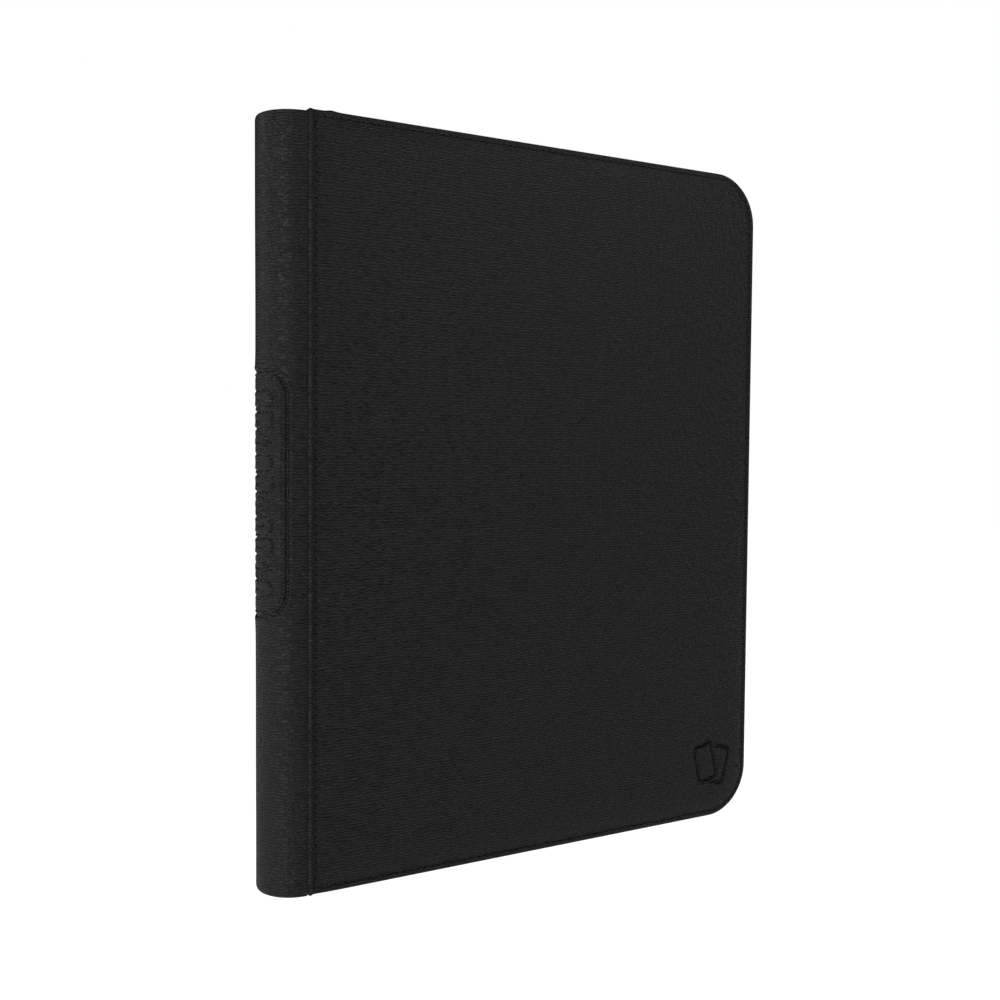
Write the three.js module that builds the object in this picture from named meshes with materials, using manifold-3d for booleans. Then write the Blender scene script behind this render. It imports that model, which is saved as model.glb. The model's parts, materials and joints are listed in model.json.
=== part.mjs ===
// A zip-round binder for trading cards, closed and standing on its bottom edge.
//
// Two stiff covers hang from a half-round spine on soft hinges. Twenty nine-pocket leaves are bound
// in a riveted block inside the spine, and a coil zip with one slider closes the other three sides.
//
// Millimetres, +Z up. The origin is the middle of the box at its foot. The spine is at -X, the fore
// edge at +X, the front cover faces -Y. dx below is a distance from the hinge seams towards +X.

import * as THREE from "three";
import { mergeVertices } from "three/addons/utils/BufferGeometryUtils.js";
import Module from "manifold-3d";

const wasm = await Module();
wasm.setup();

// Driving dimensions
const HEIGHT = 350;
const WIDTH = 280; // from the back of the spine to the fore edge
const THICKNESS = 34; // over both covers
const CORNER_RADIUS = 26; // the covers' two outer corners
const SPINE_RADIUS = THICKNESS / 2; // the spine is a half round
const LEAF_COUNT = 20;
const LEAF_HEIGHT = 300;
const LEAF_THICKNESS = 0.65;
const LEAF_PITCH = 0.95;

const SEAM_X = -WIDTH / 2 + SPINE_RADIUS; // both hinges stand on this line
const FORE_X = WIDTH / 2;
const HALF_HINGE_GAP = 0.15; // between a cover's edge and its hinge line, and the spine's likewise
const GLUE = 0.1; // between two layers of one cover or of the spine
const CLEARANCE = 0.3; // between loose pieces

// Layers of a cover, as distances in from its outer face
const LEATHER = 1;
const FOAM = 1.1;
const BOARD = 1.7;
const TURN_IN_DEPTH = 3.9; // where the turned-in leather starts
const SHELL_DEPTH = 4.8; // where it ends
const LINING_DEPTH = 5.4; // the cover's inner face
const TURN_IN_WIDTH = 14;
const FACING_HEIGHT = 14; // of the strips that face the spine's ends

// The zip runs round the open sides on a tape that stands square to the covers
const TAPE_INSET = 5; // from the covers' edges to the tape
const TAPE_THICKNESS = 0.6;
const TAPE_ALLOWANCE_INSET = 1.6; // the sewn-on part of the tape starts here
const TAPE_START = 4; // dx of the tape's cut ends
const TAPE_EDGE_Y = 3.5; // from the middle plane to the woven edge
const COIL_THICKNESS = 2.2;
const COIL_OUTER_Y = 3.2;
const COIL_INNER_Y = 0.4;
const STOP_START = 14;
const STOP_LENGTH = 2.4;
const TAB_START = 3; // the leather tab folded over the tape's end
const TAB_LENGTH = 10;
const TAB_THICKNESS = 3;

// The slider at rest, near the spine end of the top run
const SLIDER_DX = 42;
const SLIDER_LENGTH = 12;
const SLIDER_HALF_WIDTH = 4.6;
const SLIDER_PLATE = 1.2;
const CROWN_LENGTH = 8;
const CROWN_HALF_WIDTH = 1.2;
const CROWN_BAR = 1;
const PULL_PIVOT_DX = 40; // the pull's end bar hangs in the crown here
const PULL_HALF_WIDTH = 3;
const PULL_WINDOW_END = 6.4; // from the pivot to the end of the link's window
const PULL_LINK_LENGTH = 14;
const GRIP_START = 9;
const GRIP_LENGTH = 23;
const GRIP_HALF_WIDTH = 3.6;
const GRIP_THICKNESS = 2.4;

// The block that holds the leaves' bound edges
const CREASE_DX = 7; // of the outermost leaf of each half; each next one is a step further out
const CREASE_STEP = LEAF_PITCH;
const CREASE_GAP = 0.6; // from the bound edge to the crease
const LEAF_END_DX = 244;
const LEAF_CORNER = 4;
const ROOT_START_DX = -1.3;
const BAR_END_DX = 5.6;
const BAR_THICKNESS = 1.3;
const PLATE_START_DX = -3.4;
const PLATE_THICKNESS = 1.8;
const PLATE_HALF_WIDTH = 11.4;
const RIVET_COUNT = 4;
const RIVET_DX = 2.2;
const RIVET_RADIUS = 1.5;
const RIVET_HEAD_RADIUS = 2.7;
const RIVET_HEAD = 0.8;
const RIVET_SPAN = 260; // between the lowest and the highest rivet
const HINGE_STRIP_WIDTH = 8.6;
const HINGE_STRIP_THICKNESS = 0.4;

const ARC_STEPS = 8; // straight pieces in a quarter of a cover's corner
const SPINE_STEPS = 20; // straight pieces round the spine
const ROUND_STEPS = 12; // straight pieces round a rivet

const COLOURS = {
  leather: [0x1b1b1b, 0.6, 0],
  foam: [0x3a3a3c, 0.95, 0],
  board: [0x8a8378, 0.9, 0],
  lining: [0x161617, 0.85, 0],
  tape: [0x111112, 0.9, 0],
  coil: [0x0e0e0f, 0.45, 0],
  metal: [0x2a2b2d, 0.35, 1],
  rubber: [0x141414, 0.7, 0],
  plastic: [0x101011, 0.5, 0],
  leaf: [0x121214, 0.3, 0],
};

function material(slot) {
  const [color, roughness, metalness] = COLOURS[slot];
  return new THREE.MeshStandardMaterial({ color, roughness, metalness });
}

function named(name, slot, geometry) {
  const mesh = new THREE.Mesh(geometry, material(slot));
  mesh.name = name;
  return mesh;
}

// Solids and booleans ------------------------------------------------------------------------

function solidOf(geometry) {
  const bare = geometry.index ? geometry.toNonIndexed() : geometry.clone();
  bare.deleteAttribute("normal");
  bare.deleteAttribute("uv");
  const merged = mergeVertices(bare, 1e-3);
  const mesh = new wasm.Mesh({
    numProp: 3,
    vertProperties: merged.attributes.position.array,
    triVerts: new Uint32Array(merged.index.array),
  });
  return new wasm.Manifold(mesh);
}

function geometryOf(solid) {
  const mesh = solid.getMesh();
  const geometry = new THREE.BufferGeometry();
  geometry.setAttribute("position", new THREE.BufferAttribute(mesh.vertProperties, 3));
  geometry.setIndex(new THREE.BufferAttribute(mesh.triVerts, 1));
  geometry.computeVertexNormals();
  return geometry;
}

function cut(geometry, ...tools) {
  const whole = solidOf(geometry);
  return geometryOf(tools.reduce((left, tool) => left.subtract(solidOf(tool)), whole));
}

function joined(first, ...others) {
  const start = solidOf(first);
  return geometryOf(others.reduce((sum, other) => sum.add(solidOf(other)), start));
}

// A box from its lowest to its highest corner.
function block(low, high) {
  const size = high.map((value, axis) => value - low[axis]);
  const middle = high.map((value, axis) => (value + low[axis]) / 2);
  return new THREE.BoxGeometry(...size).translate(...middle);
}

// A flat outline in X and Z, made solid between two distances in from the front cover's outer face.
function plate(outline, nearFace, farFace) {
  const depth = farFace - nearFace;
  const geometry = new THREE.ExtrudeGeometry(outline, {
    depth,
    bevelEnabled: false,
    curveSegments: ARC_STEPS,
  });
  return geometry.rotateX(Math.PI / 2).translate(0, -THICKNESS / 2 + farFace, 0);
}

// A flat outline in X and Y, made solid between two heights.
function column(outline, low, high) {
  const geometry = new THREE.ExtrudeGeometry(outline, {
    depth: high - low,
    bevelEnabled: false,
    curveSegments: SPINE_STEPS,
  });
  return geometry.translate(0, 0, low);
}

// Outlines -----------------------------------------------------------------------------------

// A cover's outline: square at the spine, round at the two outer corners.
function coverOutline(inset) {
  const left = SEAM_X + HALF_HINGE_GAP + inset;
  const right = FORE_X - inset;
  const radius = Math.max(CORNER_RADIUS - inset, 2);
  const outline = new THREE.Shape();
  outline.moveTo(left, inset);
  outline.lineTo(right - radius, inset);
  outline.absarc(right - radius, inset + radius, radius, -Math.PI / 2, 0, false);
  outline.lineTo(right, HEIGHT - inset - radius);
  outline.absarc(right - radius, HEIGHT - inset - radius, radius, 0, Math.PI / 2, false);
  outline.lineTo(left, HEIGHT - inset);
  return outline;
}

// The band between two insets along the three open sides, starting at dx from the seam.
function openSidesOutline(outerInset, innerInset, dx) {
  const start = SEAM_X + dx;
  const centreX = FORE_X - CORNER_RADIUS;
  const outer = CORNER_RADIUS - outerInset;
  const inner = CORNER_RADIUS - innerInset;
  const high = HEIGHT - CORNER_RADIUS;
  const outline = new THREE.Shape();
  outline.moveTo(start, outerInset);
  outline.absarc(centreX, CORNER_RADIUS, outer, -Math.PI / 2, 0, false);
  outline.absarc(centreX, high, outer, 0, Math.PI / 2, false);
  outline.lineTo(start, HEIGHT - outerInset);
  outline.lineTo(start, HEIGHT - innerInset);
  outline.absarc(centreX, high, inner, Math.PI / 2, 0, true);
  outline.absarc(centreX, CORNER_RADIUS, inner, 0, -Math.PI / 2, true);
  outline.lineTo(start, innerInset);
  return outline;
}

// Half a ring round the spine's axis, open towards the covers.
function spineOutline(outer, inner) {
  const edge = SEAM_X - HALF_HINGE_GAP;
  const outerAngle = Math.acos(-HALF_HINGE_GAP / outer);
  const innerAngle = Math.acos(-HALF_HINGE_GAP / inner);
  const outline = new THREE.Shape();
  outline.moveTo(edge, outer * Math.sin(outerAngle));
  outline.absarc(SEAM_X, 0, outer, outerAngle, 2 * Math.PI - outerAngle, false);
  outline.lineTo(edge, -inner * Math.sin(innerAngle));
  outline.absarc(SEAM_X, 0, inner, 2 * Math.PI - innerAngle, innerAngle, true);
  return outline;
}

// Covers -------------------------------------------------------------------------------------

// The leather wraps the board and is turned in on the inner face.
function coverLeather() {
  const whole = plate(coverOutline(0), 0, SHELL_DEPTH);
  const pocket = plate(coverOutline(LEATHER), LEATHER, TURN_IN_DEPTH);
  const window = plate(coverOutline(TURN_IN_WIDTH), LEATHER + FOAM, SHELL_DEPTH + 1);
  return cut(whole, pocket, window);
}

function coverLining() {
  const sheet = plate(coverOutline(TAPE_INSET + 1.2), SHELL_DEPTH + GLUE, LINING_DEPTH);
  const filling = plate(coverOutline(TURN_IN_WIDTH + GLUE), TURN_IN_DEPTH, SHELL_DEPTH + 2 * GLUE);
  return joined(sheet, filling);
}

function zipTape() {
  const wallEnd = TAPE_INSET + TAPE_THICKNESS;
  const allowance = openSidesOutline(TAPE_ALLOWANCE_INSET, wallEnd, TAPE_START);
  const wall = openSidesOutline(TAPE_INSET, wallEnd, TAPE_START);
  const face = SHELL_DEPTH + GLUE;
  return joined(
    plate(allowance, face, LINING_DEPTH),
    plate(wall, face, THICKNESS / 2 - TAPE_EDGE_Y),
  );
}

function zipCoil() {
  const middle = TAPE_INSET + TAPE_THICKNESS / 2;
  const start = STOP_START + STOP_LENGTH + CLEARANCE;
  const half = COIL_THICKNESS / 2;
  const band = openSidesOutline(middle - half, middle + half, start);
  return plate(band, THICKNESS / 2 - COIL_OUTER_Y, THICKNESS / 2 - COIL_INNER_Y);
}

// The height of the tape's middle on the bottom run or the top run.
function tapeHeight(end) {
  const middle = TAPE_INSET + TAPE_THICKNESS / 2;
  return end === "top" ? HEIGHT - middle : middle;
}

function zipStop(end) {
  const z = tapeHeight(end);
  const half = COIL_THICKNESS / 2 + 0.2;
  const start = SEAM_X + STOP_START;
  return block(
    [start, -COIL_OUTER_Y - 0.1, z - half],
    [start + STOP_LENGTH, -COIL_INNER_Y, z + half],
  );
}

function zipEndTab(end) {
  const z = tapeHeight(end);
  const start = SEAM_X + TAB_START;
  const stop = start + TAB_LENGTH;
  const face = -THICKNESS / 2 + LINING_DEPTH + 0.2;
  const slot = TAPE_THICKNESS / 2 + CLEARANCE;
  const tab = block([start, face, z - TAB_THICKNESS / 2], [stop, -1, z + TAB_THICKNESS / 2]);
  const room = block(
    [SEAM_X + TAPE_START - CLEARANCE, face - 1, z - slot],
    [stop + 1, -TAPE_EDGE_Y + CLEARANCE, z + slot],
  );
  return cut(tab, room);
}

function hingeStrip() {
  const near = -THICKNESS / 2 + LINING_DEPTH + GLUE;
  const start = SEAM_X + 0.4;
  const margin = (HEIGHT - LEAF_HEIGHT) / 2;
  return block(
    [start, near, margin],
    [start + HINGE_STRIP_WIDTH, near + HINGE_STRIP_THICKNESS, HEIGHT - margin],
  );
}

function cover(side) {
  const group = new THREE.Group();
  const inner = LEATHER + GLUE;
  const foam = plate(coverOutline(inner), LEATHER + GLUE / 2, LEATHER + FOAM - GLUE / 2);
  const boardStart = LEATHER + FOAM;
  const board = plate(coverOutline(inner), boardStart, boardStart + BOARD);
  group.add(
    named(`${side}_cover_leather`, "leather", coverLeather()),
    named(`${side}_cover_foam`, "foam", foam),
    named(`${side}_cover_board`, "board", board),
    named(`${side}_cover_lining`, "lining", coverLining()),
    named(`${side}_hinge_strip`, "lining", hingeStrip()),
    named(`${side}_zip_tape`, "tape", zipTape()),
    named(`${side}_zip_coil`, "coil", zipCoil()),
  );
  for (const end of ["top", "bottom"]) {
    group.add(named(`${side}_zip_stop_${end}`, "metal", zipStop(end)));
    group.add(named(`${side}_zip_end_tab_${end}`, "leather", zipEndTab(end)));
  }
  return group;
}

// Spine --------------------------------------------------------------------------------------

// Leatherette over foam and bent board, lined inside, with a facing strip glued in at each end.
function spine() {
  const group = new THREE.Group();
  const skin = SPINE_RADIUS - LEATHER;
  const boardOuter = skin - FOAM - GLUE;
  const boardInner = SPINE_RADIUS - TURN_IN_DEPTH + GLUE;
  const inside = SPINE_RADIUS - SHELL_DEPTH;
  const low = FACING_HEIGHT + GLUE;
  const layer = (outer, inner) => column(spineOutline(outer, inner), low, HEIGHT - low);
  const facing = (from) => column(spineOutline(skin - GLUE, inside), from, from + FACING_HEIGHT);
  group.add(
    named("spine_leather", "leather", column(spineOutline(SPINE_RADIUS, skin), 0, HEIGHT)),
    named("spine_foam", "foam", layer(skin - GLUE, boardOuter + GLUE)),
    named("spine_board", "board", layer(boardOuter, boardInner)),
    named("spine_lining", "lining", layer(boardInner - GLUE, inside + GLUE)),
    named("spine_facing_bottom", "leather", facing(0)),
    named("spine_facing_top", "leather", facing(HEIGHT - FACING_HEIGHT)),
  );
  return group;
}

// Leaves and their binding -------------------------------------------------------------------

// Leaves are counted from the middle plane outwards, 0 being the innermost of its half.
function creaseOf(step) {
  const outermost = LEAF_COUNT / 2 - 1;
  return {
    dx: CREASE_DX + (outermost - step) * CREASE_STEP,
    y: (step + 0.5) * LEAF_PITCH,
  };
}

function leaf(step, sign) {
  const crease = creaseOf(step);
  const low = (HEIGHT - LEAF_HEIGHT) / 2;
  const high = HEIGHT - low;
  const left = SEAM_X + crease.dx;
  const right = SEAM_X + LEAF_END_DX;
  const outline = new THREE.Shape();
  outline.moveTo(left, low);
  outline.absarc(right - LEAF_CORNER, low + LEAF_CORNER, LEAF_CORNER, -Math.PI / 2, 0, false);
  outline.absarc(right - LEAF_CORNER, high - LEAF_CORNER, LEAF_CORNER, 0, Math.PI / 2, false);
  outline.lineTo(left, high);
  const geometry = new THREE.ExtrudeGeometry(outline, {
    depth: LEAF_THICKNESS,
    bevelEnabled: false,
    curveSegments: 4,
  });
  geometry.rotateX(Math.PI / 2);
  return geometry.translate(0, sign * crease.y + LEAF_THICKNESS / 2, 0);
}

// The stack of bound edges, stepped so that each leaf turns about its own crease.
function rootOutline() {
  const outline = new THREE.Shape();
  const halfCount = LEAF_COUNT / 2;
  const halfWidth = halfCount * LEAF_PITCH;
  const start = SEAM_X + ROOT_START_DX;
  outline.moveTo(start, halfWidth);
  outline.lineTo(start, -halfWidth);
  for (let slot = 0; slot < LEAF_COUNT; slot++) {
    const step = slot < halfCount ? halfCount - 1 - slot : slot - halfCount;
    const x = SEAM_X + creaseOf(step).dx - CREASE_GAP;
    outline.lineTo(x, -halfWidth + slot * LEAF_PITCH);
    outline.lineTo(x, -halfWidth + (slot + 1) * LEAF_PITCH);
  }
  return outline;
}

function turned(profile) {
  const points = profile.map(([radius, along]) => new THREE.Vector2(radius, along));
  return new THREE.LatheGeometry(points, ROUND_STEPS);
}

// A rivet's profile about the Y axis, widened all over by a clearance.
function rivetShape(grow) {
  const half = LEAF_COUNT * LEAF_PITCH * 0.5 + BAR_THICKNESS;
  const end = half + grow;
  const underHead = half - RIVET_HEAD - grow;
  const shaft = RIVET_RADIUS + grow;
  const head = RIVET_HEAD_RADIUS + grow;
  const geometry = turned([
    [0, -end],
    [head, -end],
    [shaft, -underHead],
    [shaft, underHead],
    [head, end],
    [0, end],
  ]);
  return geometry;
}

function rivetHeights() {
  const low = (HEIGHT - RIVET_SPAN) / 2;
  const step = RIVET_SPAN / (RIVET_COUNT - 1);
  return Array.from({ length: RIVET_COUNT }, (_, index) => low + index * step);
}

function binding() {
  const group = new THREE.Group();
  const low = (HEIGHT - LEAF_HEIGHT) / 2;
  const high = HEIGHT - low;
  const holes = rivetHeights().map((z) => rivetShape(CLEARANCE).translate(SEAM_X + RIVET_DX, 0, z));
  const rootHalf = (LEAF_COUNT * LEAF_PITCH) / 2;
  const barInner = rootHalf + GLUE / 2;
  const barOuter = rootHalf + BAR_THICKNESS;
  for (const [side, near, far] of [
    ["front", -barOuter, -barInner],
    ["back", barInner, barOuter],
  ]) {
    const bar = block([SEAM_X + ROOT_START_DX, near, low], [SEAM_X + BAR_END_DX, far, high]);
    group.add(named(`binding_bar_${side}`, "plastic", cut(bar, ...holes)));
  }
  group.add(named("leaf_root_block", "leaf", cut(column(rootOutline(), low, high), ...holes)));
  const plateStart = SEAM_X + PLATE_START_DX;
  const backing = block(
    [plateStart, -PLATE_HALF_WIDTH, low],
    [plateStart + PLATE_THICKNESS, PLATE_HALF_WIDTH, high],
  );
  group.add(named("binding_back_plate", "plastic", backing));
  rivetHeights().forEach((z, index) => {
    const rivet = rivetShape(0).translate(SEAM_X + RIVET_DX, 0, z);
    group.add(named(`binding_rivet_${index + 1}`, "metal", rivet));
  });
  return group;
}

// leaf_01 is next to the front cover and leaf_20 next to the back cover.
function leaves() {
  const group = new THREE.Group();
  const halfCount = LEAF_COUNT / 2;
  for (let index = 0; index < LEAF_COUNT; index++) {
    const front = index < halfCount;
    const step = front ? halfCount - 1 - index : index - halfCount;
    const name = `leaf_${String(index + 1).padStart(2, "0")}`;
    group.add(named(name, "leaf", leaf(step, front ? -1 : 1)));
  }
  return group;
}

// Slider -------------------------------------------------------------------------------------

function slider() {
  const group = new THREE.Group();
  const x = SEAM_X + SLIDER_DX;
  const z = tapeHeight("top");
  const channel = COIL_THICKNESS / 2 + CLEARANCE;
  const outside = channel + SLIDER_PLATE;
  const from = x - SLIDER_LENGTH / 2;
  const to = x + SLIDER_LENGTH / 2;
  const wide = SLIDER_HALF_WIDTH;
  const neckEnd = from + 4;
  const lip = TAPE_THICKNESS / 2 + CLEARANCE;
  const upper = block([from, -wide, z + channel], [to, wide, z + outside]);
  const lower = block([from, -wide, z - outside], [to, wide, z - channel]);
  const neck = block([from, -0.2, z - channel - 0.5], [neckEnd, 0.2, z + channel + 0.5]);
  const upperLip = block([from, TAPE_EDGE_Y, z + lip], [to, wide, z + channel + 0.5]);
  const lowerLip = block([from, TAPE_EDGE_Y, z - channel - 0.5], [to, wide, z - lip]);
  group.add(
    named("zip_slider_body", "metal", joined(upper, lower, neck, upperLip, lowerLip)),
  );

  const seat = z + outside + GLUE / 2;
  const pivotZ = pullPivotHeight();
  const crownTop = pivotZ + 0.7 + CROWN_BAR;
  const half = CROWN_LENGTH / 2;
  const arch = block([x - half, -CROWN_HALF_WIDTH, seat], [x + half, CROWN_HALF_WIDTH, crownTop]);
  const window = block(
    [x - half + CROWN_BAR, -2 * CROWN_HALF_WIDTH, seat - 1],
    [x + half - CROWN_BAR, 2 * CROWN_HALF_WIDTH, crownTop - CROWN_BAR],
  );
  group.add(named("zip_slider_crown", "metal", cut(arch, window)));
  return group;
}

function pullPivotHeight() {
  return tapeHeight("top") + COIL_THICKNESS / 2 + CLEARANCE + SLIDER_PLATE + 0.7;
}

// The pull lies flat, pointing at the spine, with its end bar through the crown.
function pull() {
  const group = new THREE.Group();
  const x = SEAM_X + PULL_PIVOT_DX;
  const z = pullPivotHeight();
  const half = 0.45;
  const link = cut(
    block([x - PULL_LINK_LENGTH, -PULL_HALF_WIDTH, z - half], [x + half, PULL_HALF_WIDTH, z + half]),
    block(
      [x - PULL_WINDOW_END, -CROWN_HALF_WIDTH - CLEARANCE, z - 1],
      [x - half, CROWN_HALF_WIDTH + CLEARANCE, z + 1],
    ),
  );
  group.add(named("zip_pull_link", "metal", link));
  const gripStart = x - GRIP_START;
  const grip = cut(
    block(
      [gripStart - GRIP_LENGTH, -GRIP_HALF_WIDTH, z - GRIP_THICKNESS / 2],
      [gripStart, GRIP_HALF_WIDTH, z + GRIP_THICKNESS / 2],
    ),
    block(
      [x - PULL_LINK_LENGTH - CLEARANCE, -PULL_HALF_WIDTH - CLEARANCE, z - half - 0.2],
      [gripStart + 1, PULL_HALF_WIDTH + CLEARANCE, z + half + 0.2],
    ),
  );
  group.add(named("zip_pull_grip", "rubber", grip));
  return group;
}

// The back cover is the front one mirrored in the middle plane.
const backCover = cover("back");
backCover.scale.y = -1;

const binder = new THREE.Group();
binder.add(cover("front"), backCover, spine(), binding(), leaves(), slider(), pull());

export default binder;
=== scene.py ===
"""Looks of the trading card binder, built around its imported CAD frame.

The frame's axes: +Z up, the spine at -X, the front cover faces -Y. The making functions work in
millimetres, and new_object() turns them into metres.
"""

import json
import math

import bpy
import bmesh
import numpy as np
from mathutils import Matrix, Vector

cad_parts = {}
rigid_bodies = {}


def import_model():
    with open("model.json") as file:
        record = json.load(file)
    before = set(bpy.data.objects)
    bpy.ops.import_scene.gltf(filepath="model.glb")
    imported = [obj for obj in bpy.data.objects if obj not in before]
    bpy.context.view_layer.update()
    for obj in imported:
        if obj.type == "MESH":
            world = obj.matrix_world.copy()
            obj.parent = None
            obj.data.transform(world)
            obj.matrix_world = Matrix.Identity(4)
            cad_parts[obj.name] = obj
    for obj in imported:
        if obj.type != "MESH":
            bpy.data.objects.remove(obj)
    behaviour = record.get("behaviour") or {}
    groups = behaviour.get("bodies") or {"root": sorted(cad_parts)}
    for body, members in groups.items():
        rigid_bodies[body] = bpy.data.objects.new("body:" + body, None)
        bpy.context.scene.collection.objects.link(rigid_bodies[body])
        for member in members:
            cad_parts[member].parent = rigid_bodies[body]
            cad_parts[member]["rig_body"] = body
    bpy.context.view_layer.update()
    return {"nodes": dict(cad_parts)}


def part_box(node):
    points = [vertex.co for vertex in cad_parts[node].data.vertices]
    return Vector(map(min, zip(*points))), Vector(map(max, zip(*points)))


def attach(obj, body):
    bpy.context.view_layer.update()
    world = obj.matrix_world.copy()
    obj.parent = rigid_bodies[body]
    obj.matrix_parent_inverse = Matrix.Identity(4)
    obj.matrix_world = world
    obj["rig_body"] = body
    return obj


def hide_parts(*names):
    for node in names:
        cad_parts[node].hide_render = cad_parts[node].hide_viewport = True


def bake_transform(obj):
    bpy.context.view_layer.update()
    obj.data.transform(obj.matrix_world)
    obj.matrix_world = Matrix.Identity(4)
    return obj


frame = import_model()
MM = 0.001

# Driving sizes, in millimetres, as in the CAD
HEIGHT = 350.0
RADIUS = 17.0  # half the thickness, and the half-round spine's radius
SEAM_X = -123.0
FORE_X = 140.0
CORNER = 26.0
SHELL = 4.8  # thickness of a cover or the spine, without its lining
JOIN_GAP = 0.05  # from a cover's or the spine's leather to the seam line
COVER_WIDTH = FORE_X - SEAM_X - JOIN_GAP
TAPE_INSET = 5.3
LEAF_LOW = 25.0
LEAF_HIGH = 325.0
LEAF_FORE_X = 121.0
LEAF_PITCH = 0.95
LEAF_COUNT = 20
STITCH_PITCH = 3.7
STITCH_INSET = 2.7
SEAM_STITCH = 3.8
SPINE_HIGH = HEIGHT - 1.2  # the spine's leather ends a little below the covers' tops

# Small tools --------------------------------------------------------------------------------


def lines(*stops):
    """Grid lines through stops, each a position and the spacing from there to the next one."""
    out = []
    for (start, step), (end, _) in zip(stops, stops[1:]):
        count = max(1, round((end - start) / step))
        out += list(np.linspace(start, end, count, endpoint=False))
    return np.array(out + [stops[-1][0]])


def curve_through(points):
    """A smooth function through (position, value) points, flat beyond the last one."""
    at, value = (np.array(column, float) for column in zip(*points))
    slope = np.gradient(value, at)
    slope[0] = (value[1] - value[0]) / (at[1] - at[0])
    slope[-1] = 0

    def evaluate(x):
        x = np.clip(x, at[0], at[-1])
        i = np.clip(np.searchsorted(at, x) - 1, 0, len(at) - 2)
        span = at[i + 1] - at[i]
        t = (x - at[i]) / span
        rise = value[i + 1] - value[i]
        start = slope[i] * span
        end = slope[i + 1] * span
        return value[i] + t * start + t**2 * (3 * rise - 2 * start - end) + t**3 * (start + end - 2 * rise)

    return evaluate


def smoothstep(low, high, x):
    t = np.clip((x - low) / (high - low), 0, 1)
    return t * t * (3 - 2 * t)


def rounded_box(x, z, half_x, half_z, radius, degrees=0):
    """Distance from the outline of a rounded box, negative inside."""
    c = math.cos(math.radians(degrees))
    s = math.sin(math.radians(degrees))
    qx = np.abs(c * x + s * z) - half_x + radius
    qz = np.abs(c * z - s * x) - half_z + radius
    outside = np.hypot(np.maximum(qx, 0), np.maximum(qz, 0))
    return outside + np.minimum(np.maximum(qx, qz), 0) - radius


def stroke(distance, half_width, soft):
    """1 on a line of that half width, 0 off it."""
    return 1 - smoothstep(half_width - soft, half_width + soft, np.abs(distance))


def new_object(name, points, faces, material, smooth=True):
    """A mesh object from millimetre points, with its faces turned outwards."""
    mesh = bpy.data.meshes.new(name)
    mesh.from_pydata((np.asarray(points, float) * MM).tolist(), [], [list(map(int, f)) for f in faces])
    work = bmesh.new()
    work.from_mesh(mesh)
    bmesh.ops.recalc_face_normals(work, faces=work.faces)
    work.to_mesh(mesh)
    work.free()
    mesh.polygons.foreach_set("use_smooth", [smooth] * len(mesh.polygons))
    obj = bpy.data.objects.new(name, mesh)
    bpy.context.scene.collection.objects.link(obj)
    mesh.materials.append(material)
    return obj


def mount(obj, body, slot, *nodes):
    """obj rides on body and stands for the CAD nodes; slot is not used."""
    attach(obj, body)
    if nodes:
        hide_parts(*nodes)
    return obj


# Shells: a surface over a rounded rectangle, rolled over its edges --------------------------


def round_corners(a, b, radii):
    """Bends a rectangle's grid so that its corners are round.

    radii maps (at the end of a, at the end of b) to a radius. Gives the points, their outward
    directions in the sheet, and their distance in from the outline.
    """
    width, height = a[-1], b[-1]
    grid_a, grid_b = np.meshgrid(a, b, indexing="ij")
    x, z = grid_a.copy(), grid_b.copy()
    u = np.minimum(grid_a, width - grid_a)
    v = np.minimum(grid_b, height - grid_b)
    inset = np.minimum(u, v)
    out_x = np.where(u <= v, np.sign(grid_a - width / 2), 0.0)
    out_z = np.where(v < u, np.sign(grid_b - height / 2), 0.0)
    for (far_a, far_b), radius in radii.items():
        du = width - grid_a if far_a else grid_a
        dv = height - grid_b if far_b else grid_b
        zone = (du < radius) & (dv < radius)
        near = np.minimum(du, dv)[zone]
        far = np.maximum(du, dv)[zone]
        along = (radius - far) / np.maximum(radius - near, 1e-9)
        angle = np.where((dv <= du)[zone], along, 2 - along) * math.pi / 4
        sign_a = 1 if far_a else -1
        sign_b = 1 if far_b else -1
        centre_a = width - radius if far_a else radius
        centre_b = height - radius if far_b else radius
        x[zone] = centre_a + sign_a * (radius - near) * np.sin(angle)
        z[zone] = centre_b + sign_b * (radius - near) * np.cos(angle)
        out_x[zone] = sign_a * np.sin(angle)
        out_z[zone] = sign_b * np.cos(angle)
    return x, z, out_x, out_z, inset


def border_of(index):
    """The grid's outer loop of point numbers, in order."""
    return np.concatenate([index[:-1, 0], index[-1, :-1], index[:0:-1, -1], index[0, :0:-1]])


def grid_quads(index):
    corners = (index[:-1, :-1], index[1:, :-1], index[1:, 1:], index[:-1, 1:])
    return np.stack([c.ravel() for c in corners], 1).tolist()


def band(first, second):
    """Quads between two closed loops of point numbers."""
    following = [*range(1, len(first)), 0]
    return [[first[i], first[j], second[j], second[i]] for i, j in enumerate(following)]


def tube_faces(count, size):
    """The faces of count rings of size points each, in order, with a face over each end."""
    rings = np.arange(count * size).reshape(count, size)
    faces = [rings[0].tolist(), rings[-1].tolist()]
    for first, second in zip(rings, rings[1:]):
        faces += band(first, second)
    return faces


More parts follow.
